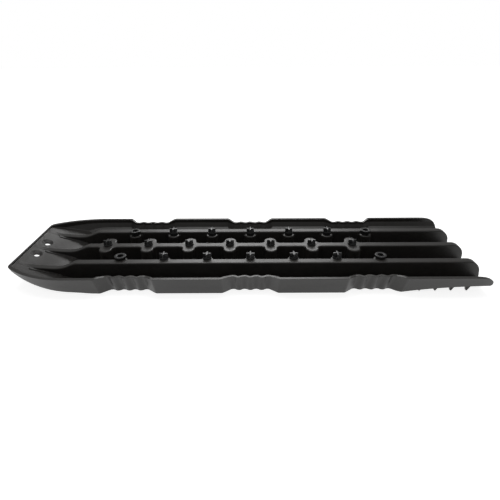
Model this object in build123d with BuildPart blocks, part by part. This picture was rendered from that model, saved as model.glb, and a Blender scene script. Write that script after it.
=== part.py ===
from build123d import *
import os
from math import asin, cos, hypot, radians, sin, sqrt, tan

# A moulded traction board that goes under a stuck wheel, with bolted-in studs.
# +X runs from the ramp nose to the plain end, Y is across and +Z is up. The origin is
# at the middle of the board's length, on the ground that its walls and cleats stand on.
# All sizes are in millimetres.

os.makedirs("parts", exist_ok=True)

# ---------------------------------------------------------------- driving dimensions
# The whole board
length = 1090.0              # nose edge to rib ends
width = 332.0                # over the rims of the two side walls
rib_height = 52.0            # ground to rib top, which is also the middle pads' top
rim_height = 52.0            # ground to the side walls' rim
wall_lean = 24.7             # how far a side wall leans out between the ground and its rim
wall_thickness = 4.1         # side wall, measured across
floor_bottom = 7.5           # ground to the underside of the channel floors
floor_thickness = 4.5
floor_corner_y = 122.5       # from here the floor slopes up to meet the side wall
floor_corner_angle = 33.0
lip_height = 9.0             # upright inner lip under the rim
underside_gap = 0.4          # the wall is this much thicker below its lip

# Ribs and stud pads
rib_spacing = 84.0
rib_width = 20.0
rib_wall = 4.5
rib_edge_radius = 3.0
rib_end_radius = 30.0        # rounded top corner of each rib's plain end
seat_height = 46.7           # ground to where the studs and bushes stand
deck_thickness = 6.0         # under the seats
pad_width = 31.0             # along the rib
pad_reach = 37.5             # middle rib's pads, from the rib's centre line
pad_blend = 10.0             # plan radius where a middle pad flows into its rib
outer_pad_end = 53.5         # outer ribs' pads end here, from the board's centre line
outer_pad_inset = 2.0        # they start this far inside their rib's outer edge
outer_pad_blend = 4.5
seat_clearance = 0.6         # radial, round a stud or bush that stands in the board

# Nose
nose_corner_radius = 20.0
nose_flare_radius = 215.0    # plan curve from the side wall to the nose edge
nose_flare_length = 140.0    # from the nose edge to where the side walls run straight
nose_rise = 5.0              # the nose edge stands this much above the rim
nose_rise_length = 140.0     # over which the rim rises to it
nose_edge_height = 5.0       # height of the thin front edge
nose_drop = 2.5              # step from the nose edge down to the ramp
ramp_length = 140.0          # nose edge to the flat channel floor
ramp_points = ((42.0, 16.5), (96.0, 32.5))   # behind the nose edge, below the ramp's start
ramp_slopes = (-0.42, 0.0)   # at the ramp's start and foot
# The side wall's lower edge: distance behind the nose edge, height over the ground
spoon_points = ((17.0, 41.5), (37.0, 33.0), (83.0, 17.0), (125.0, 8.5), (170.0, 3.5),
                (245.0, 0.0))
nose_rib_length = 147.0      # from the nose edge to where the ribs have their full section
# The ribs in the nose: distance behind the edge, width, how far below the rib top
nose_rib_points = ((6.0, 13.0, -0.4), (23.0, 14.0, 6.4), (45.0, 15.0, 11.6),
                   (75.0, 15.5, 14.0), (102.0, 16.0, 14.4), (122.0, 17.5, 9.0),
                   (143.0, 20.0, 0.4), (147.0, 20.0, 0.0))
bead_width = 2.6             # raised line on the ramp along each rib's side
bead_height = 1.6
bead_start = 36.0            # from the nose edge
bead_length = 72.0

# Finger grips in the side walls
grip_spacing = 278.0
grip_centre = 6.0            # the middle grip, along X
grip_depth = 14.5
grip_rim_drop = 4.0
finger_pitch = 26.0
finger_depth = 4.6           # from the top of a wave to its bottom
fingers = 4
grip_corner_radius = 8.0

# Plain end
floor_end_gap = 6.0          # the channel floors stop short of the rib ends
horn_length = 50.0           # curved-down end of each side wall
horn_drop = 21.0
horn_tip_gap = 4.0           # horn tip to the rib ends
horn_tip_radius = 4.0
skirt_rise = 24.0            # the side wall's lower edge at the plain end
skirt_rise_length = 210.0    # over which the lower edge rises

# Studs and bushes
stud_pitch = 102.7
stud_row_y = 69.4            # outer rows, from the centre line
stud_centre = 6.5            # the middle of the outer rows, along X
outer_row_count = 7          # positions in an outer row, with a bush at each end
stud_head_radius = 10.4
stud_head_height = 18.0      # above its seat
stud_base_height = 7.4       # round part under the fins
stud_fin_width = 4.2
stud_fin_inset = 0.3         # a fin's foot, in from the head's edge
stud_fin_taper = 3.0         # degrees
stud_chamfer = 0.8
thread_diameter = 8.0
shank_length = 17.0          # below the seat
washer_radius = 8.0
washer_thickness = 1.6
nut_across_flats = 13.0
nut_height = 6.5
bolt_clearance = 0.25        # radial, between a shank and its hole
thread_clearance = 0.05      # radial, between a shank and its nut
bush_radius = 13.6           # flange
bush_height = 12.3           # above its seat
bush_flange_thickness = 3.2
bush_body_radius = 11.0
bush_bore_radius = 7.0
bush_neck_radius = 9.0
bush_neck_length = 12.0      # below the seat
bush_clearance = 0.1         # radial, between a bush's neck and the board
bush_chamfer = 0.8

# Tether holes in the nose
tether_spacing = 60.0
tether_setback = 23.0        # from the nose edge
tether_fall = 9.3            # how far the ramp has fallen there
tether_radius = 7.0
tether_mouth_radius = 14.0
tether_mouth_depth = 4.5
tether_boss_radius = 17.0
tether_boss_depth = 9.0      # ramp to the boss's underside

# Ground cleats
cleat_pitch = 36.0
cleat_length = 15.0
cleat_width = 6.0
cleat_tip = 2.0
cleat_root = 7.5             # how far a cleat reaches up into the board
cleat_lead = 0.3             # share of a cleat's root that lies ahead of its tip
cleats_from_end = 46.0       # last cleat to the plain end
cleats_from_nose = 165.0     # no cleat is nearer to the nose edge than this
outer_cleat_y = 131.5
inner_cleat_y = rib_spacing / 2

# ---------------------------------------------------------------- derived places
beyond = 60.0                # how far cutters run past the board
nose_x = -length / 2
end_x = length / 2
half_width = width / 2
lean = wall_lean / rim_height
floor_top = floor_bottom + floor_thickness
lip_level = rim_height - lip_height
nose_top = rim_height + nose_rise
flare_end_x = nose_x + nose_flare_length
ridge_start_x = nose_x + nose_rib_length
grip_xs = [grip_centre + i * grip_spacing for i in (-1, 0, 1)]
outer_row_xs = [stud_centre + (i - (outer_row_count - 1) / 2) * stud_pitch
                for i in range(outer_row_count)]
middle_row_xs = [x - stud_pitch / 2 for x in outer_row_xs]
bush_places = [(x, y) for y in (-stud_row_y, stud_row_y)
               for x in (outer_row_xs[0], outer_row_xs[-1])]
stud_places = ([(x, stud_row_y) for x in outer_row_xs[1:-1]]
               + [(x, 0.0) for x in middle_row_xs]
               + [(x, -stud_row_y) for x in outer_row_xs[1:-1]])

# One finger wave is an arc over half a pitch, and the grip's slopes run on from it.
wave_chord = finger_pitch / 2
wave_sagitta = finger_depth / 2
wave_radius = (wave_chord ** 2 / 4 + wave_sagitta ** 2) / (2 * wave_sagitta)
waves = 2 * fingers - 1
grip_slope_run = grip_depth / tan(asin(wave_chord / 2 / wave_radius))
grip_length = waves * wave_chord + 2 * grip_slope_run


# ---------------------------------------------------------------- shared shapes
def wall_outline(inset):
    """The +Y half of the plan at rim level, open past the plain end and the centre line.

    inset moves it inwards by a wall's thickness.
    """
    flare_centre_y = half_width - nose_flare_radius
    corner_y = flare_centre_y + sqrt(nose_flare_radius ** 2 - nose_flare_length ** 2)
    flare_mid = radians(90) + asin(nose_flare_length / nose_flare_radius) / 2
    grip_y = half_width - grip_depth
    with BuildSketch() as outline:
        with BuildLine():
            Line((nose_x, -beyond), (nose_x, corner_y))
            ThreePointArc((nose_x, corner_y),
                          (flare_end_x + nose_flare_radius * cos(flare_mid),
                           flare_centre_y + nose_flare_radius * sin(flare_mid)),
                          (flare_end_x, half_width))
            x = flare_end_x
            for centre in grip_xs:
                start = centre - grip_length / 2
                Line((x, half_width), (start, half_width))
                x = start + grip_slope_run
                Line((start, half_width), (x, grip_y))
                for wave in range(waves):
                    bulge = -wave_sagitta if wave % 2 == 0 else wave_sagitta
                    ThreePointArc((x, grip_y), (x + wave_chord / 2, grip_y + bulge),
                                  (x + wave_chord, grip_y))
                    x += wave_chord
                Line((x, grip_y), (x + grip_slope_run, half_width))
                x += grip_slope_run
            Polyline((x, half_width), (end_x + beyond, half_width),
                     (end_x + beyond, -beyond), (nose_x, -beyond))
        make_face()
        corners = outline.vertices().group_by(Axis.Y)[-1]
        fillet(corners.filter_by_position(Axis.X, flare_end_x + 1, end_x), grip_corner_radius)
        fillet(outline.vertices().filter_by_position(Axis.X, nose_x, nose_x)
               .sort_by(Axis.Y)[-1], nose_corner_radius)
        if inset > 0:
            offset(amount=-inset, mode=Mode.REPLACE)
    return outline.sketch


def leaning_prism(inset, z_low, z_high):
    """The +Y half of the plan, leaning out with the side wall."""
    shift = -lean * (rim_height - z_high)
    with BuildPart() as prism:
        extrude(wall_outline(inset).moved(Location((0, shift, z_high))),
                amount=hypot(lean, 1) * (z_high - z_low), dir=(0, -lean, -1))
    return prism.part


def upright_prism(inset, z_low, z_high):
    """The +Y half of the plan as the leaning wall has it at z_low, straight up."""
    shift = -lean * (rim_height - z_low)
    with BuildPart() as prism:
        extrude(wall_outline(inset).moved(Location((0, shift, z_low))), amount=z_high - z_low)
    return prism.part


def above_ramp(drop):
    """Everything above the ramp and the channel floors, both lowered by drop."""
    top = nose_top - nose_drop - drop
    start = (nose_x, top)
    front = (nose_x - beyond, top - ramp_slopes[0] * beyond)
    foot = (nose_x + ramp_length, floor_top - drop)
    middle = [(nose_x + x, top - fall)
              for x, fall in ((tether_setback, tether_fall), *ramp_points)]
    with BuildPart() as space:
        with BuildSketch(Plane.XZ):
            with BuildLine():
                Line(front, start)
                Spline(start, *middle, foot, tangents=[(1, slope) for slope in ramp_slopes])
                Polyline(foot, (end_x + 2 * beyond, foot[1]), (end_x + 2 * beyond, 3 * beyond),
                         (front[0], 3 * beyond), front)
            make_face()
        extrude(amount=width, both=True)
    return space.part


def above_floor(drop):
    """Everything above the floor and its sloping outer corners, lowered by drop."""
    run = 3 * beyond
    rise = run * tan(radians(floor_corner_angle))
    low = floor_top - drop
    with BuildPart() as space:
        with BuildSketch(Plane.YZ):
            with BuildLine():
                Polyline((-run, low), (floor_corner_y, low), (floor_corner_y + run, low + rise),
                         (-run, low + rise), close=True)
            make_face()
        extrude(amount=length, both=True)
    return space.part


def side_view(height):
    """The side walls seen from the side: the spoon-shaped nose, the rim and the horn."""
    tip_x = end_x - horn_tip_gap
    horn_z = height - horn_drop
    spoon = [(nose_x + x, z) for x, z in spoon_points]
    edge_foot = (nose_x, nose_top - nose_edge_height)
    edge_top = (nose_x, height + nose_rise)
    rise_end = (nose_x + nose_rise_length, height)
    with BuildPart() as view:
        with BuildSketch(Plane.XZ):
            with BuildLine():
                Spline(edge_foot, *spoon, tangents=((0.5, -1), (1, 0)))
                Polyline(spoon[-1], (end_x - floor_end_gap, 0),
                         (end_x - floor_end_gap, skirt_rise),
                         (tip_x - horn_tip_radius, skirt_rise))
                RadiusArc((tip_x - horn_tip_radius, skirt_rise),
                          (tip_x, skirt_rise + horn_tip_radius), -horn_tip_radius)
                Line((tip_x, skirt_rise + horn_tip_radius), (tip_x, horn_z))
                Spline((tip_x, horn_z), (tip_x - horn_length, height),
                       tangents=((-0.2, 1), (-1, 0)))
                Line((tip_x - horn_length, height), rise_end)
                Spline(rise_end, edge_top, tangents=((-1, 0), (-1, 0.06)))
                Line(edge_top, edge_foot)
            make_face()
        extrude(amount=width, both=True)
    return view.part


def grip_rim_cuts():
    """What lowers the rim at the finger grips, with sloping ends."""
    half = grip_length / 2
    with BuildPart() as cuts:
        with BuildSketch(Plane.XZ):
            for centre in grip_xs:
                with BuildLine():
                    Polyline((centre - half + grip_slope_run, rim_height - grip_rim_drop),
                             (centre + half - grip_slope_run, rim_height - grip_rim_drop),
                             (centre + half, rim_height + 1),
                             (centre - half, rim_height + 1), close=True)
                make_face()
        extrude(amount=-width)
    return cuts.part


def skirt_cut():
    """What raises the side wall's lower edge towards the plain end."""
    start = (end_x - skirt_rise_length, -1)
    with BuildPart() as cut:
        with BuildSketch(Plane.XZ):
            with BuildLine():
                Spline(start, (end_x, skirt_rise), tangents=((1, 0.25), (1, 0.02)))
                Polyline((end_x, skirt_rise), (end_x, -beyond), (start[0], -beyond), start)
            make_face()
        extrude(amount=-width)
        add(above_floor(floor_thickness), mode=Mode.SUBTRACT)
    return cut.part


# ---------------------------------------------------------------- one half of the tray
with BuildPart() as cavity:
    add(leaning_prism(wall_thickness, floor_bottom, lip_level))
    add(upright_prism(wall_thickness, lip_level, rim_height + beyond))
    add(above_floor(0), mode=Mode.INTERSECT)
    add(above_ramp(0), mode=Mode.INTERSECT)

with BuildPart() as shell_top:
    add(above_floor(floor_thickness))
    add(above_ramp(floor_thickness), mode=Mode.INTERSECT)

with BuildPart() as underside:
    add(leaning_prism(wall_thickness + underside_gap, -1, lip_level))
    add(shell_top.part, mode=Mode.SUBTRACT)

with BuildPart() as half_tray:
    add(leaning_prism(0, 0, nose_top))
    add(side_view(rim_height), mode=Mode.INTERSECT)
    add(cavity.part, mode=Mode.SUBTRACT)
    add(underside.part, mode=Mode.SUBTRACT)
    add(grip_rim_cuts(), mode=Mode.SUBTRACT)
    add(skirt_cut(), mode=Mode.SUBTRACT)
    split(bisect_by=Plane.XZ, keep=Keep.BOTTOM)


# ---------------------------------------------------------------- the ribs
with BuildPart() as nose_rib:
    for distance, rib_w, drop in nose_rib_points:
        with BuildSketch(Plane.YZ.offset(nose_x + distance)) as section:
            with Locations((0, (rib_height - drop) / 2)):
                Rectangle(rib_w, rib_height - drop)
            fillet(section.vertices().group_by(Axis.Y)[-1],
                   rib_edge_radius * rib_w / rib_width)
    loft()
    add(side_view(rib_height + 1), mode=Mode.INTERSECT)

with BuildPart() as ramp_beads:
    with Locations((nose_x + bead_start + bead_length / 2, 0, 0)):
        Box(bead_length, rib_width + 2 * bead_width, 2 * rib_height)
    add(above_ramp(0), mode=Mode.INTERSECT)
    add(above_ramp(-bead_height), mode=Mode.SUBTRACT)


def ridge_plan(rib_x, inset, pads=None):
    """Plan of a rib with its pads, at its own centre line, inset by a wall."""
    rib_end = end_x - inset
    with BuildSketch() as plan:
        with Locations(((rib_x + rib_end) / 2, 0)):
            Rectangle(rib_end - rib_x, rib_width - 2 * inset)
        if pads:
            pad_xs, pad_y, pad_length, blend_sides, blend = pads
            with Locations([(x, pad_y) for x in pad_xs]):
                SlotOverall(pad_length - 2 * inset, pad_width - 2 * inset, rotation=90)
            blend_ys = [side * (rib_width / 2 - inset) for side in blend_sides]
            blends = [v for v in plan.vertices()
                      if any(abs(v.Y - y) < 0.01 for y in blend_ys)
                      and any(abs(abs(v.X - x) - pad_width / 2 + inset) < 0.01 for x in pad_xs)]
            fillet(blends, blend)
    return plan.sketch


def ridge_block(inset, top, rib_x, pads=None):
    """A rib with pads of its own height and a rounded end, its top edges still sharp."""
    with BuildPart() as block:
        extrude(ridge_plan(rib_x, inset, pads), amount=top)
        end_edges = block.edges().filter_by(Axis.Y).group_by(Axis.X)[-1].group_by(Axis.Z)[-1]
        fillet(end_edges, rib_end_radius - inset)
    return block.part


def ridge(inset, top, rib_x, pads=None):
    """A rib with pads of its own height, or with an inset the hollow under it."""
    with BuildPart() as body:
        add(ridge_block(inset, top, rib_x, pads))
        if inset == 0:
            top_faces = body.faces().filter_by(Axis.Z).sort_by(Axis.Z)[-1]
            fillet([e for e in top_faces.edges() if e.bounding_box().size.X > 0.01],
                   rib_edge_radius)
    return body.part


middle_pads = (middle_row_xs, 0.0, 2 * pad_reach, (-1, 1), pad_blend)
outer_pad_length = rib_spacing - outer_pad_end + rib_width / 2 - outer_pad_inset
outer_pad_y = rib_width / 2 - outer_pad_inset - outer_pad_length / 2
outer_pads = (outer_row_xs, outer_pad_y, outer_pad_length, (-1,), outer_pad_blend)

# The outer ribs' pads are lower than the ribs. Their blends stop below the rounded tops.
with BuildPart() as outer_pad_tops:
    with BuildSketch():
        with Locations([(x, outer_pad_y) for x in outer_row_xs]):
            SlotOverall(outer_pad_length, pad_width, rotation=90)
    extrude(amount=seat_height)
    fillet(outer_pad_tops.edges().group_by(Axis.Z)[-1], rib_edge_radius)

with BuildPart() as outer_ridge:
    add(ridge(0, rib_height, ridge_start_x))
    add(ridge_block(0, seat_height - rib_edge_radius, ridge_start_x, outer_pads))
    add(outer_pad_tops.part)

# The hollow under each rib starts a wall's thickness behind the nose rib.
hollow_start_x = ridge_start_x + rib_wall
hollow_top = seat_height - deck_thickness

with BuildPart() as ridges:
    with Locations((0, rib_spacing, 0)):
        add(outer_ridge.part)
        add(nose_rib.part)
        add(ramp_beads.part)
    mirror(about=Plane.XZ)
    add(ridge(0, rib_height, ridge_start_x, middle_pads))
    add(nose_rib.part)
    add(ramp_beads.part)

with BuildPart() as hollows:
    with Locations((0, rib_spacing, 0)):
        add(ridge(rib_wall, hollow_top, hollow_start_x, outer_pads))
    mirror(about=Plane.XZ)
    add(ridge(rib_wall, hollow_top, hollow_start_x, middle_pads))


# ---------------------------------------------------------------- nose and ground details
tether_x = nose_x + tether_setback
tether_z = nose_top - nose_drop - tether_fall
tether_slope = tether_fall / tether_setback

with BuildPart() as tether_bosses:
    with Locations((tether_x, -tether_spacing / 2, tether_z),
                   (tether_x, tether_spacing / 2, tether_z)):
        Cylinder(tether_boss_radius, 4 * tether_boss_depth)
    add(above_ramp(tether_boss_depth), mode=Mode.INTERSECT)
    add(above_ramp(0), mode=Mode.SUBTRACT)

with BuildPart() as tether_holes:
    with Locations((tether_x, -tether_spacing / 2, tether_z),
                   (tether_x, tether_spacing / 2, tether_z)):
        Cylinder(tether_radius, 4 * tether_boss_depth)
    for side in (-1, 1):
        mouth = Plane(origin=(tether_x, side * tether_spacing / 2, tether_z),
                      x_dir=(1, 0, -tether_slope), z_dir=(tether_slope, 0, 1))
        with BuildSketch(mouth) as mouth_circle:
            Circle(tether_mouth_radius)
        with BuildSketch(mouth.offset(-tether_mouth_depth)):
            Circle(tether_radius)
        loft()
        extrude(mouth_circle.sketch, amount=tether_mouth_depth)

first_cleat_x = nose_x + cleats_from_nose
last_cleat_x = end_x - cleats_from_end
cleat_count = int((last_cleat_x - first_cleat_x) / cleat_pitch) + 1

cleat_xs = [last_cleat_x - i * cleat_pitch for i in range(cleat_count)]
# The outer row skips the finger grips, where the side walls stand further in.
grip_reach = grip_length / 2 + cleat_length
outer_cleat_xs = [x for x in cleat_xs if all(abs(x - grip_x) > grip_reach for grip_x in grip_xs)]

with BuildPart() as cleats:
    for row_y, xs, reach in ((outer_cleat_y, outer_cleat_xs, floor_bottom + cleat_root),
                             (inner_cleat_y, cleat_xs, floor_bottom + 1)):
        with BuildSketch(Plane.XZ.offset(-row_y)):
            for x in xs:
                with BuildLine():
                    Polyline((x, 0), (x + cleat_tip, 0),
                             (x + cleat_length * (1 - cleat_lead), reach),
                             (x - cleat_length * cleat_lead, reach), close=True)
                make_face()
        extrude(amount=cleat_width / 2, both=True)
    mirror(about=Plane.XZ)

# ---------------------------------------------------------------- the board
with BuildPart() as track_board:
    add(half_tray.part)
    mirror(about=Plane.XZ)
    add(tether_bosses.part)
    add(ridges.part)
    add(cleats.part)
    add(hollows.part, mode=Mode.SUBTRACT)
    add(tether_holes.part, mode=Mode.SUBTRACT)
    # Each stud and bush stands in a round seat, with a smaller hole through the deck.
    for places, seat_radius, hole_radius in (
            (stud_places, stud_head_radius + seat_clearance, thread_diameter / 2 + bolt_clearance),
            (bush_places, bush_body_radius + seat_clearance, bush_neck_radius + bush_clearance)):
        with Locations([(x, y, seat_height) for x, y in places]):
            Cylinder(seat_radius, beyond, align=(Align.CENTER, Align.CENTER, Align.MIN),
                     mode=Mode.SUBTRACT)
            Cylinder(hole_radius, 2 * deck_thickness + 1, mode=Mode.SUBTRACT)
track_board.part.label = "track_board"
export_step(track_board.part, "parts/track_board.step")

# ---------------------------------------------------------------- studs, nuts, washers
with BuildPart() as traction_stud:
    with BuildSketch(Plane.XY.offset(seat_height)):
        Circle(stud_head_radius)
    extrude(amount=stud_base_height)
    base_rim = traction_stud.edges().group_by(Axis.Z)[-1]
    chamfer(base_rim, stud_chamfer)
    with BuildSketch(Plane.XY.offset(seat_height + stud_base_height)):
        Rectangle(2 * (stud_head_radius - stud_fin_inset), stud_fin_width)
        Rectangle(stud_fin_width, 2 * (stud_head_radius - stud_fin_inset))
    extrude(amount=stud_head_height - stud_base_height, taper=stud_fin_taper)
    fins = traction_stud.edges().group_by(Axis.Z)[-1]
    chamfer(fins, stud_chamfer)
    with BuildSketch(Plane.XY.offset(seat_height)):
        Circle(thread_diameter / 2)
    extrude(amount=-shank_length)
    chamfer(traction_stud.edges().group_by(Axis.Z)[0], stud_chamfer)

with BuildPart() as stud_washer:
    with BuildSketch(Plane.XY.offset(hollow_top)):
        Circle(washer_radius)
        Circle(thread_diameter / 2 + bolt_clearance, mode=Mode.SUBTRACT)
    extrude(amount=-washer_thickness)

with BuildPart() as stud_nut:
    with BuildSketch(Plane.XY.offset(hollow_top - washer_thickness)):
        RegularPolygon(nut_across_flats / 2, 6, major_radius=False)
        Circle(thread_diameter / 2 + thread_clearance, mode=Mode.SUBTRACT)
    extrude(amount=-nut_height)

bush_top = seat_height + bush_height
with BuildPart() as mounting_bush:
    with BuildSketch(Plane.XY.offset(bush_top)):
        Circle(bush_radius)
    extrude(amount=-bush_flange_thickness)
    with BuildSketch(Plane.XY.offset(seat_height)):
        Circle(bush_body_radius)
    extrude(amount=bush_height - bush_flange_thickness)
    with BuildSketch(Plane.XY.offset(seat_height)):
        Circle(bush_neck_radius)
    extrude(amount=-bush_neck_length)
    with Locations((0, 0, seat_height)):
        Cylinder(bush_bore_radius, 4 * bush_height, mode=Mode.SUBTRACT)
    chamfer(mounting_bush.edges().group_by(Axis.Z)[-1], bush_chamfer)

# ---------------------------------------------------------------- the finished pieces
for name, piece in (("traction_stud", traction_stud), ("stud_washer", stud_washer),
                    ("stud_nut", stud_nut)):
    for number, (x, y) in enumerate(stud_places, start=1):
        placed = piece.part.moved(Location((x, y, 0)))
        placed.label = f"{name}_{number:02d}"
        export_step(placed, f"parts/{placed.label}.step")

for number, (x, y) in enumerate(bush_places, start=1):
    placed = mounting_bush.part.moved(Location((x, y, 0)))
    placed.label = f"mounting_bush_{number}"
    export_step(placed, f"parts/{placed.label}.step")
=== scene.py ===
# %% [markdown]
# # A moulded traction board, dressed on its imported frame
#
# The board goes under a wheel that is stuck in snow, mud or sand. It is one long moulding in
# black plastic, with three hollow ribs, raised side walls and a ramp at its nose. Seventeen
# cross-shaped studs are bolted into pads on the ribs, and four ring-shaped bushes take the
# pins that hold the board on a roof rack.
#
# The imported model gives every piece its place. This lesson gives each piece its finish, and
# models the small hard parts again with rounded edges and real threads.

# %% Load the frame
from math import cos, pi, radians, sin

import bmesh
import bpy
from mathutils import Euler, Matrix, Vector


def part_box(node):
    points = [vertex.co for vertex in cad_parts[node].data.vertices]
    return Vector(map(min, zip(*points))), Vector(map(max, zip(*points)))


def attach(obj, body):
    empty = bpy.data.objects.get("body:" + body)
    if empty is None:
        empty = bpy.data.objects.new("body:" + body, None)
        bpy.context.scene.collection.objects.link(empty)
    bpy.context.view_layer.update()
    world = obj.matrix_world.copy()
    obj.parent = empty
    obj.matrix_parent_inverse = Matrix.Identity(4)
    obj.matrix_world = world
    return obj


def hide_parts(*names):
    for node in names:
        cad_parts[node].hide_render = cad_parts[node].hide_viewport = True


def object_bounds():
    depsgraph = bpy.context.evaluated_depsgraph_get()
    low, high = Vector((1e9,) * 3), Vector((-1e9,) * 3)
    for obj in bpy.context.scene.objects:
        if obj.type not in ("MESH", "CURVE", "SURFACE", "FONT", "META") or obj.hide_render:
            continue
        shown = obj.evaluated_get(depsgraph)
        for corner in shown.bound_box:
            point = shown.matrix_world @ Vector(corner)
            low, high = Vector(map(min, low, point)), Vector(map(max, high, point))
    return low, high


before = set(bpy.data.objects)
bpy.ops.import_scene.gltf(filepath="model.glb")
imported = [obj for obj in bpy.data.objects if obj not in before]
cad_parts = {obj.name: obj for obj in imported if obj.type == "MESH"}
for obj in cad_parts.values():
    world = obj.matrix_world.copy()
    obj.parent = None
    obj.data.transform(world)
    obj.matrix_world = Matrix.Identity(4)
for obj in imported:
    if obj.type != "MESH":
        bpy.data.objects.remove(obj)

cad_low, cad_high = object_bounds()
print("CAD box, metres:", [round(v, 4) for v in (*cad_low, *cad_high)])

# %% [markdown]
# ## Helpers
#
# Every modelling operator of Blender acts on what is selected, so each step begins by
# choosing one object, and then vertices, edges or faces by where they are. A finished piece
# keeps its place in its mesh and its object stays at the origin.

# %% Helpers for selecting and shaping
MM = 0.001


def choose(piece):
    """Leave only this object selected and active."""
    bpy.ops.object.select_all(action="DESELECT")
    piece.select_set(True)
    bpy.context.view_layer.objects.active = piece


def newest(name):
    """Name the primitive that was just added, with its place put into its mesh."""
    piece = bpy.context.active_object
    piece.name = piece.data.name = name
    bpy.ops.object.transform_apply(location=True, rotation=True, scale=True)
    return piece


def select_by(piece, kind, test):
    """In edit mode, select the vertices, edges or faces whose middle passes a test."""
    mesh = bmesh.from_edit_mesh(piece.data)
    for part in (*mesh.verts, *mesh.edges, *mesh.faces):
        part.select = False
    if kind == "verts":
        chosen = [v for v in mesh.verts if test(v.co)]
    elif kind == "edges":
        chosen = [e for e in mesh.edges if test((e.verts[0].co + e.verts[1].co) / 2)]
    else:
        chosen = [f for f in mesh.faces if test(f.calc_center_median())]
    for part in chosen:
        part.select_set(True)
    bmesh.update_edit_mesh(piece.data)
    return len(chosen)


def modify(piece, kind, **settings):
    """Add a modifier and apply it at once."""
    choose(piece)
    modifier = piece.modifiers.new(kind.title(), kind)
    for key, value in settings.items():
        setattr(modifier, key, value)
    bpy.ops.object.modifier_apply(modifier=modifier.name)


def break_edges(piece, width, segments, angle=40):
    """Round every edge that turns by more than an angle."""
    modify(piece, "BEVEL", width=width, segments=segments, limit_method="ANGLE",
           angle_limit=radians(angle))


def smooth(piece, angle=35):
    """Shade the flat stretches flat and the rounded edges smooth."""
    choose(piece)
    bpy.ops.object.shade_smooth_by_angle(angle=radians(angle))


def tidy_faces(piece):
    """Merge doubled points and turn every face outwards."""
    choose(piece)
    bpy.ops.object.mode_set(mode="EDIT")
    bpy.ops.mesh.select_all(action="SELECT")
    bpy.ops.mesh.remove_doubles(threshold=1e-6)
    bpy.ops.mesh.normals_make_consistent(inside=False)
    bpy.ops.object.mode_set(mode="OBJECT")


def join(name, *pieces):
    """Make one object of several shells."""
    choose(pieces[0])
    for piece in pieces[1:]:
        piece.select_set(True)
    bpy.ops.object.join()
    pieces[0].name = pieces[0].data.name = name
    return pieces[0]


def ringed(name, profile, sides):
    """Turn a closed profile of (radius, height) pairs by extruding one ring after another."""
    radius, height = profile[0]
    bpy.ops.object.select_all(action="DESELECT")
    bpy.ops.mesh.primitive_circle_add(vertices=sides, radius=radius, location=(0, 0, height))
    piece = newest(name)
    bpy.ops.object.mode_set(mode="EDIT")
    bpy.ops.mesh.select_all(action="SELECT")
    for wider, higher in (*profile[1:], profile[0]):
        bpy.ops.mesh.extrude_region_move(
            TRANSFORM_OT_translate={"value": (0, 0, higher - height)})
        bpy.ops.transform.resize(value=(wider / radius, wider / radius, 1),
                                 center_override=(0, 0, higher))
        radius, height = wider, higher
    bpy.ops.object.mode_set(mode="OBJECT")
    tidy_faces(piece)
    return piece


def numbered(pattern):
    """The CAD nodes of one kind, in the order of their numbers."""
    return sorted(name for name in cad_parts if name.startswith(pattern))


def middle(node):
    """The middle of a node's box in plan, at the height of its top."""
    low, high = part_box(node)
    return Vector(((low.x + high.x) / 2, (low.y + high.y) / 2, high.z))


def dress(model, nodes, name, drop):
    """Put a copy of the model, with its own mesh, at each node and let it stand for it."""
    for number, node in enumerate(nodes, start=1):
        piece = bpy.data.objects.new(f"{name}_{number:02d}", model.data.copy())
        bpy.context.scene.collection.objects.link(piece)
        piece.data.transform(Matrix.Translation(middle(node) - Vector((0, 0, drop))))
        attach(piece, "root")
        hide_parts(node)
    bpy.data.objects.remove(model)
    print(f"{name}: {len(nodes)} placed")


# %% [markdown]
# ## Finishes
#
# Black plastic is never one flat black. The mould was etched, so the surface has a fine grain
# that breaks up highlights, and the plastic flowed in from a few gates, so the gloss wanders a
# little over the length. The base colour is nearly black, and what the eye sees is mostly
# the soft reflection of the studio.

# %% Helpers for materials
def new_material(name, colour, roughness, metallic=0.0):
    material = bpy.data.materials.new(name)
    material.use_nodes = True
    shader = material.node_tree.nodes["Principled BSDF"]
    shader.inputs["Base Color"].default_value = (*colour, 1)
    shader.inputs["Roughness"].default_value = roughness
    shader.inputs["Metallic"].default_value = metallic
    return material, material.node_tree, shader


def noise(tree, scale, detail=2.0, stretch=(1, 1, 1)):
    """Noise in object space, in cycles a metre, stretched along an axis if asked."""
    place = tree.nodes.new("ShaderNodeTexCoord")
    mapping = tree.nodes.new("ShaderNodeMapping")
    mapping.inputs["Scale"].default_value = stretch
    grain = tree.nodes.new("ShaderNodeTexNoise")
    grain.inputs["Scale"].default_value = scale
    grain.inputs["Detail"].default_value = detail
    tree.links.new(place.outputs["Object"], mapping.inputs["Vector"])
    tree.links.new(mapping.outputs["Vector"], grain.inputs["Vector"])
    return grain.outputs["Fac"]


def ranged(tree, source, low, high):
    """Spread a 0.35 to 0.65 signal over the range from low to high."""
    spread = tree.nodes.new("ShaderNodeMapRange")
    spread.inputs["From Min"].default_value = 0.35
    spread.inputs["From Max"].default_value = 0.65
    spread.inputs["To Min"].default_value = low
    spread.inputs["To Max"].default_value = high
    tree.links.new(source, spread.inputs["Value"])
    return spread.outputs["Result"]


def blended(tree, source, first, second):
    """A colour between two others."""
    mix = tree.nodes.new("ShaderNodeMix")
    mix.data_type = "RGBA"
    mix.inputs["A"].default_value = (*first, 1)
    mix.inputs["B"].default_value = (*second, 1)
    tree.links.new(source, mix.inputs["Factor"])
    return mix.outputs["Result"]


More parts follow.
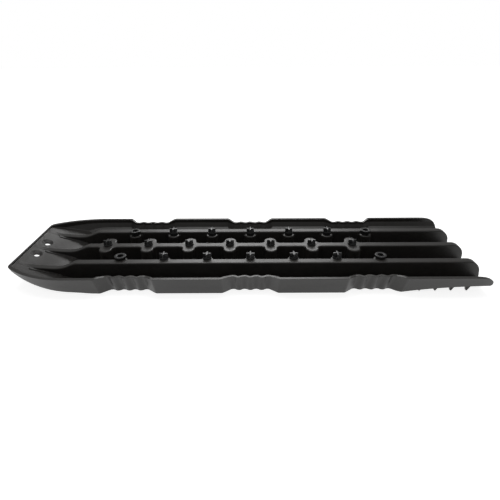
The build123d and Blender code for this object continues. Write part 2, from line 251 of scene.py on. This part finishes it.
def grained(tree, shader, source, height, edge=0.0):
    """A bump whose height is given in metres, over edges that look rounded by edge metres."""
    bump = tree.nodes.new("ShaderNodeBump")
    bump.inputs["Distance"].default_value = height
    tree.links.new(source, bump.inputs["Height"])
    if edge:
        rounding = tree.nodes.new("ShaderNodeBevel")
        rounding.samples = 6
        rounding.inputs["Radius"].default_value = edge
        tree.links.new(rounding.outputs["Normal"], bump.inputs["Normal"])
    tree.links.new(bump.outputs["Normal"], shader.inputs["Normal"])


# %% Moulded board plastic
def board_plastic():
    material, tree, shader = new_material("etched_black_plastic", (0.012, 0.0115, 0.011), 0.42)
    flow = noise(tree, 14, 3, (0.25, 1, 1))
    grain = noise(tree, 1400, 2)
    tree.links.new(ranged(tree, flow, 0.38, 0.46), shader.inputs["Roughness"])
    tree.links.new(blended(tree, ranged(tree, noise(tree, 60, 4), 0, 1),
                           (0.0110, 0.0098, 0.0084), (0.0160, 0.0142, 0.0124)),
                   shader.inputs["Base Color"])
    grained(tree, shader, grain, 0.06 * MM, 1.3 * MM)
    return material


# %% Stud, bush and fastener finishes
def stud_black():
    material, tree, shader = new_material("stud_black_coat", (0.009, 0.009, 0.009), 0.34)
    tree.links.new(ranged(tree, noise(tree, 500, 3), 0.28, 0.42), shader.inputs["Roughness"])
    grained(tree, shader, noise(tree, 2200, 1), 0.03 * MM)
    return material


def bush_plastic():
    material, tree, shader = new_material("bush_black_nylon", (0.012, 0.012, 0.012), 0.3)
    tree.links.new(ranged(tree, noise(tree, 300, 2), 0.25, 0.36), shader.inputs["Roughness"])
    grained(tree, shader, noise(tree, 1800, 1), 0.02 * MM)
    return material


def zinc_steel():
    material, tree, shader = new_material("zinc_plated_steel", (0.6, 0.6, 0.57), 0.35, 1.0)
    tree.links.new(ranged(tree, noise(tree, 700, 3), 0.26, 0.46), shader.inputs["Roughness"])
    tree.links.new(blended(tree, noise(tree, 150, 3), (0.52, 0.53, 0.53), (0.70, 0.69, 0.64)),
                   shader.inputs["Base Color"])
    grained(tree, shader, noise(tree, 1500, 2), 0.02 * MM)
    return material


finish = {"board": board_plastic(), "stud": stud_black(), "bush": bush_plastic(),
          "steel": zinc_steel()}
print("finishes:", ", ".join(finish))

# %% [markdown]
# ## The board
#
# The board's own solid is the right shape, so the CAD node stays and gets the plastic.

# %% Finish the board
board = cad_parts["track_board"]
board.data.materials.clear()
board.data.materials.append(finish["board"])
deck_thickness = 6.0 * MM
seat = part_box("stud_washer_01")[1].z + deck_thickness
print("seats of the studs and bushes, mm over the ground:", round(seat / MM, 1))

# %% [markdown]
# ## Studs
#
# A stud is a round base with four upright fins that bite into the tread of a tyre, on a
# threaded shank. The fins are drawn out of a small block, face by face, and pulled in a
# little towards their tops so that the mould lets them go.

# %% Stud sizes
stud_low, stud_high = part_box("traction_stud_01")
head_radius = (stud_high.x - stud_low.x) / 2
head_height = stud_high.z - seat
shank_reach = seat - stud_low.z
base_height = 7.4 * MM
fin_width = 4.2 * MM
fin_inset = 0.3 * MM
fin_length = 2 * (head_radius - fin_inset)
fin_draft = 0.5 * MM
thread_radius = 4.0 * MM
thread_pitch = 1.25 * MM
print("stud head, mm:", round(2 * head_radius / MM, 1), "x", round(head_height / MM, 1))


# %% Fins of a stud
def stud_fins():
    rise = head_height - base_height / 2
    bpy.ops.object.select_all(action="DESELECT")
    bpy.ops.mesh.primitive_cube_add(size=1, location=(0, 0, head_height - rise / 2),
                                    scale=(fin_width, fin_width, rise))
    fins = newest("stud_fins")
    bpy.ops.object.mode_set(mode="EDIT")
    bpy.ops.mesh.select_mode(type="FACE")
    arm = (fin_length - fin_width) / 2
    for quarter in range(4):
        side = Vector((cos(quarter * pi / 2), sin(quarter * pi / 2), 0))
        select_by(fins, "faces", lambda c: c.xy.dot(side.xy) > 0.45 * fin_width
                  and c.xy.length < 0.6 * fin_width)
        bpy.ops.mesh.extrude_region_move(TRANSFORM_OT_translate={"value": side * arm})
    bpy.ops.mesh.select_mode(type="VERT")
    for axis in (0, 1):
        for reach in (fin_width / 2, fin_length / 2):
            select_by(fins, "verts", lambda c: c.z > head_height - 0.1 * MM
                      and abs(abs(c[axis]) - reach) < 0.05 * MM)
            shrink = [1.0, 1.0, 1.0]
            shrink[axis] = 1 - fin_draft / reach
            bpy.ops.transform.resize(value=shrink, center_override=(0, 0, head_height))
    bpy.ops.object.mode_set(mode="OBJECT")
    return fins


# %% Thread of a shank
def threaded_shank(reach):
    """A shank with a rolled thread, hanging from height 0."""
    depth = 0.6 * thread_pitch
    core = thread_radius - depth
    turns = int(reach / thread_pitch) - 2
    bpy.ops.object.select_all(action="DESELECT")
    bpy.ops.mesh.primitive_cylinder_add(vertices=32, radius=core + 0.02 * MM, depth=reach,
                                        location=(0, 0, -reach / 2))
    rod = newest("shank_core")
    break_edges(rod, 0.5 * MM, 2)
    bpy.ops.object.select_all(action="DESELECT")
    bpy.ops.mesh.primitive_plane_add(size=0.8 * thread_pitch, location=(core, 0, 0),
                                     rotation=(pi / 2, 0, 0))
    ridge = newest("thread_ridge")
    bpy.ops.object.mode_set(mode="EDIT")
    select_by(ridge, "verts", lambda c: c.x > core)
    bpy.ops.transform.resize(value=(1, 1, 0.2), center_override=(core, 0, 0))
    select_by(ridge, "verts", lambda c: c.x > core)
    bpy.ops.transform.translate(value=(thread_radius - core - 0.4 * thread_pitch, 0, 0))
    bpy.ops.object.mode_set(mode="OBJECT")
    ridge.data.transform(Matrix.Translation((0, 0, -reach + thread_pitch)))
    modify(ridge, "SCREW", screw_offset=thread_pitch, iterations=turns, steps=20,
           render_steps=20, use_merge_vertices=True, merge_threshold=1e-6)
    tidy_faces(ridge)
    return join("shank", rod, ridge)


# %% Assemble and place the studs
def stud():
    bpy.ops.object.select_all(action="DESELECT")
    bpy.ops.mesh.primitive_cylinder_add(vertices=64, radius=head_radius, depth=base_height,
                                        location=(0, 0, base_height / 2))
    base = newest("stud_base")
    fins = stud_fins()
    modify(base, "BOOLEAN", operation="UNION", solver="EXACT", object=fins)
    bpy.data.objects.remove(fins)
    break_edges(base, 0.6 * MM, 3)
    model = join("stud_model", base, threaded_shank(shank_reach))
    model.data.materials.clear()
    model.data.materials.append(finish["stud"])
    smooth(model)
    return model


dress(stud(), numbered("traction_stud"), "cross_stud", head_height)

# %% [markdown]
# ## Washers and nuts
#
# Under each seat the shank takes a flat washer and a lock nut. The nut is a hexagon whose
# corners are turned off, with a rounded collar that holds its locking ring.

# %% Washer
washer_low, washer_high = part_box("stud_washer_01")
washer_radius = (washer_high.x - washer_low.x) / 2
washer_height = washer_high.z - washer_low.z
washer_bore = 4.25 * MM


def washer():
    model = ringed("washer_model", [(washer_bore, -washer_height), (washer_radius, -washer_height),
                                    (washer_radius, 0), (washer_bore, 0)], 48)
    break_edges(model, 0.25 * MM, 2)
    model.data.materials.append(finish["steel"])
    smooth(model)
    return model


dress(washer(), numbered("stud_washer"), "flat_washer", 0)

# %% Lock nut
nut_low, nut_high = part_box("stud_nut_01")
nut_corner = (nut_high.x - nut_low.x) / 2
nut_flat = (nut_high.y - nut_low.y) / 2
nut_height = nut_high.z - nut_low.z
collar_height = 1.9 * MM
hex_height = nut_height - collar_height


def lock_nut():
    bpy.ops.object.select_all(action="DESELECT")
    bpy.ops.mesh.primitive_cylinder_add(vertices=6, radius=nut_corner, depth=hex_height,
                                        location=(0, 0, -hex_height / 2), rotation=(0, 0, pi / 6))
    model = newest("nut_model")
    bpy.ops.object.select_all(action="DESELECT")
    bpy.ops.mesh.primitive_cylinder_add(vertices=64, radius=nut_corner * 1.01, depth=hex_height,
                                        location=(0, 0, -hex_height / 2))
    turned = newest("nut_turning")
    break_edges(turned, 0.9 * MM, 1)
    modify(model, "BOOLEAN", operation="INTERSECT", solver="EXACT", object=turned)
    bpy.data.objects.remove(turned)
    bore = thread_radius - 0.02 * MM
    collar = ringed("nut_collar", [(bore, -hex_height + 0.3 * MM),
                                   (nut_flat - 0.7 * MM, -hex_height + 0.3 * MM),
                                   (nut_flat - 0.7 * MM, -nut_height + 0.5 * MM),
                                   (nut_flat - 1.5 * MM, -nut_height),
                                   (thread_radius + 0.4 * MM, -nut_height),
                                   (bore, -nut_height + 0.4 * MM)], 48)
    bpy.ops.object.select_all(action="DESELECT")
    bpy.ops.mesh.primitive_cylinder_add(vertices=32, radius=bore, depth=3 * nut_height,
                                        location=(0, 0, 0))
    drill = newest("nut_drill")
    modify(model, "BOOLEAN", operation="DIFFERENCE", solver="EXACT", object=drill)
    bpy.data.objects.remove(drill)
    break_edges(model, 0.2 * MM, 2, angle=25)
    model = join("nut_model", model, collar)
    model.data.materials.clear()
    model.data.materials.append(finish["steel"])
    smooth(model)
    return model


dress(lock_nut(), numbered("stud_nut"), "lock_nut", 0)

# %% [markdown]
# ## Bushes
#
# The four bushes are turned rings: a flange on a body that stands in its seat, and a thinner
# neck through the deck. Their profile is drawn ring by ring, and every edge is broken so
# that it catches the light.

# %% Bushes
bush_low, bush_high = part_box("mounting_bush_1")
bush_radius = (bush_high.x - bush_low.x) / 2
bush_neck = bush_low.z - seat
bush_rise = bush_high.z - seat
bush_bore = 7.0 * MM
bush_neck_radius = 9.0 * MM
bush_body_radius = 11.0 * MM
flange_thickness = 3.2 * MM
flange_foot = bush_rise - flange_thickness


def bush():
    model = ringed("bush_model", [(bush_bore, bush_neck), (bush_neck_radius, bush_neck),
                                  (bush_neck_radius, 0), (bush_body_radius, 0),
                                  (bush_body_radius, flange_foot), (bush_radius, flange_foot),
                                  (bush_radius, bush_rise), (bush_bore, bush_rise)], 72)
    break_edges(model, 0.8 * MM, 4)
    model.data.materials.append(finish["bush"])
    smooth(model)
    return model


dress(bush(), numbered("mounting_bush"), "ring_bush", bush_rise)


# %% [markdown]
# ## Studio
#
# A pale floor runs off in every direction. A wide soft box behind the board draws the bright
# lines along the rib tops, and a large soft box overhead fills the channels.

# %% Floor and world
floor_glow = 0.84
sky_light, sky_seen = 0.35, 1.0


def shown_rays(tree):
    """One for camera, glossy and transmission rays, and zero for the rest."""
    path = tree.nodes.new("ShaderNodeLightPath")
    total = path.outputs["Is Camera Ray"]
    for ray in ("Is Glossy Ray", "Is Transmission Ray"):
        larger = tree.nodes.new("ShaderNodeMath")
        larger.operation = "MAXIMUM"
        tree.links.new(total, larger.inputs[0])
        tree.links.new(path.outputs[ray], larger.inputs[1])
        total = larger.outputs[0]
    return total


def studio_floor():
    bpy.ops.object.select_all(action="DESELECT")
    bpy.ops.mesh.primitive_plane_add(size=16, location=(0, 0, cad_low.z))
    floor = newest("studio_floor")
    material, tree, shader = new_material("pale_floor", (0.55, 0.55, 0.55), 0.9)
    shader.inputs["Emission Color"].default_value = (1, 1, 1, 1)
    glow = tree.nodes.new("ShaderNodeMath")
    glow.operation = "MULTIPLY"
    glow.inputs[1].default_value = floor_glow
    tree.links.new(shown_rays(tree), glow.inputs[0])
    tree.links.new(glow.outputs[0], shader.inputs["Emission Strength"])
    floor.data.materials.append(material)


def studio_world():
    world = bpy.data.worlds.new("studio_world")
    bpy.context.scene.world = world
    world.use_nodes = True
    tree = world.node_tree
    background = tree.nodes["Background"]
    background.inputs["Color"].default_value = (1, 1, 1, 1)
    path = tree.nodes.new("ShaderNodeLightPath")
    strength = tree.nodes.new("ShaderNodeMapRange")
    strength.inputs["To Min"].default_value = sky_light
    strength.inputs["To Max"].default_value = sky_seen
    tree.links.new(path.outputs["Is Camera Ray"], strength.inputs["Value"])
    tree.links.new(strength.outputs["Result"], background.inputs["Strength"])


studio_floor()
studio_world()


# %% Soft boxes
def soft_box(name, place, aim, width, depth, radiance):
    """An area lamp whose face shines with the given radiance."""
    lamp = bpy.data.lights.new(name, "AREA")
    lamp.shape = "RECTANGLE"
    lamp.size, lamp.size_y = width, depth
    lamp.energy = radiance * pi * width * depth
    box = bpy.data.objects.new(name, lamp)
    bpy.context.scene.collection.objects.link(box)
    box.location = place
    box.rotation_euler = (Vector(aim) - Vector(place)).to_track_quat("-Z", "Y").to_euler()
    print(name, "power, watts:", round(lamp.energy, 1))


soft_box("back_box", (0.0, 1.35, 0.93), (0, 0, 0.05), 1.15, 0.5, 6.5)
soft_box("top_box", (0, 0.1, 1.7), (0, 0, 0.05), 1.8, 1.0, 2.2)

# %% Camera
camera_data = bpy.data.cameras.new("photo_angle")
camera_data.sensor_width = 36
camera_data.lens = 28.44
camera = bpy.data.objects.new("photo_angle", camera_data)
bpy.context.scene.collection.objects.link(camera)
bpy.context.scene.camera = camera
camera.location = (0.0055, -0.8883, 0.508)
camera_pitch = 28.0
camera_roll = -0.25
camera.rotation_mode = "QUATERNION"
camera.rotation_quaternion = (Euler((radians(90 - camera_pitch), 0, 0)).to_matrix()
                              @ Matrix.Rotation(radians(camera_roll), 3, "Z")).to_quaternion()
bpy.context.scene.view_settings.view_transform = "Standard"
